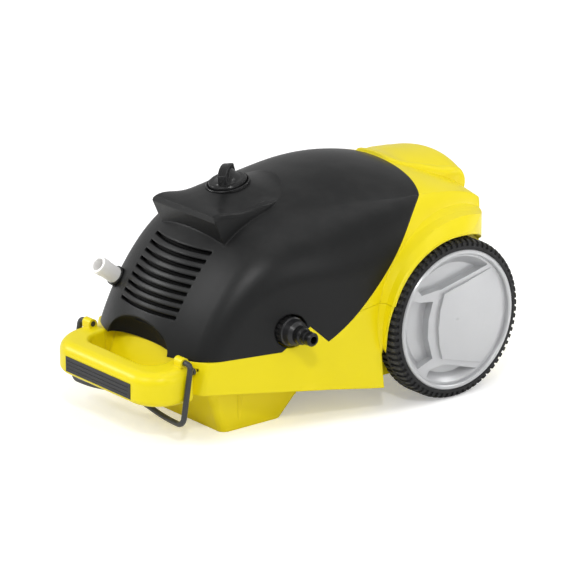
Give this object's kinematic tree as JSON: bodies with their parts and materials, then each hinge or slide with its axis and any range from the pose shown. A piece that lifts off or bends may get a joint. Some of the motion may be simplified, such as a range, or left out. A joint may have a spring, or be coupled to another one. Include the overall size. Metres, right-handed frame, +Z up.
{
  "type": "pressure washer",
  "caption": "Low wheeled pressure washer: arched black cover with switch knob and grille, yellow tub and tail, front carrying loop with wire hanger.",
  "frame": {"origin": "middle of the machine's box, on the floor", "axes": "+Z up, -Y toward the carrying loop, +X toward the water inlet side"},
  "size_m": [0.336, 0.4995, 0.281],
  "materials": {
    "black_shell": "satin black moulding with a fine grain",
    "yellow_shell": "bright yellow moulding",
    "grey_grip": "dark grey soft grip strip",
    "black_part": "black moulding, semi-gloss",
    "bail_wire": "dark grey coated steel wire",
    "zinc_steel": "bright zinc-plated steel",
    "brass": "machined brass",
    "seal_rubber": "black rubber seal",
    "filter_mesh": "fine steel gauze",
    "white_sleeve": "off-white moulding",
    "tyre_tread": "dark grey tyre",
    "silver_wheel": "silver-grey wheel finish",
    "shield_aluminium": "die-cast aluminium",
    "motor_iron": "laminated iron",
    "copper_wire": "enamelled copper wire",
    "bearing_steel": "ground steel",
    "fan_plastic": "black fan moulding",
    "capacitor_case": "light grey capacitor case"
  },
  "bodies": {
    "chassis": {"front_cover": "black_shell", "rear_hood": "yellow_shell", "tub": "yellow_shell", "housing_screws": "zinc_steel", "carrying_loop": "yellow_shell", "grip_insert": "grey_grip", "loop_screws": "zinc_steel", "switch_bezel": "black_part", "switch_body": "black_part", "inlet_stub": "brass", "inlet_filter": "filter_mesh", "inlet_washer": "seal_rubber", "union_nut": "black_part", "inlet_nipple": "black_part", "outlet_sleeve": "white_sleeve", "outlet_collar": "black_part", "outlet_pipe": "zinc_steel", "axle": "bearing_steel", "axle_washer_right": "zinc_steel", "axle_washer_left": "zinc_steel", "fan_cowl": "black_part", "rear_shield": "shield_aluminium", "front_shield": "shield_aluminium", "rear_bearing": "bearing_steel", "front_bearing": "bearing_steel", "stator": "motor_iron", "windings": "copper_wire", "oil_case": "shield_aluminium", "cylinder_block": "brass", "valve_head": "brass", "pump_bolts": "zinc_steel", "unloader": "brass", "capacitor": "capacitor_case", "capacitor_strap": "zinc_steel", "cable_gland": "black_part"},
    "bail": {"hose_bail": "bail_wire"},
    "knob": {"switch_knob": "black_part"},
    "motor_shaft": {"rotor": "motor_iron", "fan": "fan_plastic"},
    "wheel_right": {"rim_right": "silver_wheel", "wheel_face_right": "silver_wheel", "tyre_right": "tyre_tread"},
    "wheel_left": {"rim_left": "silver_wheel", "wheel_face_left": "silver_wheel", "tyre_left": "tyre_tread"}
  },
  "joints": [
    {"name": "wheel_right_spin", "type": "hinge", "parent": "chassis", "child": "wheel_right", "pos_m": [0.148, 0.142, 0.095], "axis": [1, 0, 0], "continuous": true},
    {"name": "wheel_left_spin", "type": "hinge", "parent": "chassis", "child": "wheel_left", "pos_m": [-0.148, 0.142, 0.095], "axis": [1, 0, 0], "continuous": true},
    {"name": "bail_swing", "type": "hinge", "parent": "chassis", "child": "bail", "pos_m": [0, -0.197, 0.0965], "axis": [1, 0, 0], "range_deg": [-26, 4]},
    {"name": "knob_turn", "type": "hinge", "parent": "chassis", "child": "knob", "pos_m": [0, -0.0626, 0.26062], "axis": [0, -0.225, 0.9744], "range_deg": [-75, 0]},
    {"name": "motor_spin", "type": "hinge", "parent": "chassis", "child": "motor_shaft", "pos_m": [0, 0.052, 0.136], "axis": [0, 1, 0], "continuous": true}
  ]
}
